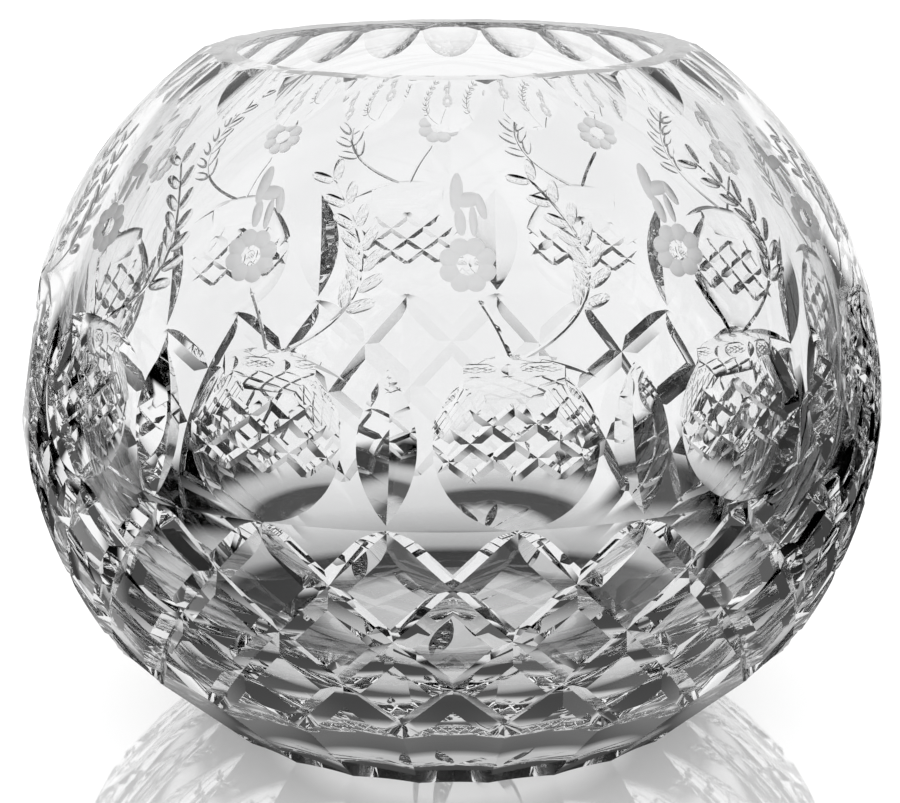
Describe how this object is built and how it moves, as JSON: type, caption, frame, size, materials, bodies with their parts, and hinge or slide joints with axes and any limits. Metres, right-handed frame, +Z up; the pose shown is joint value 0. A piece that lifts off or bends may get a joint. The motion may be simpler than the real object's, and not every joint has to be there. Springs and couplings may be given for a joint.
{
  "type": "rose bowl vase",
  "caption": "Round cut-glass rose bowl drawn in to an open rim, for flowers or floating petals, standing on its own flat foot.",
  "frame": {"origin": "middle of the foot, on the plane it stands on", "axes": "+Z up along the bowl's own axis; -Y is the front, 7.5 degrees from the nearest upright cut"},
  "size_m": [0.18, 0.18, 0.1395],
  "materials": {
    "crystal": "polished"
  },
  "bodies": {
    "root": {"bowl": "crystal"}
  },
  "joints": []
}
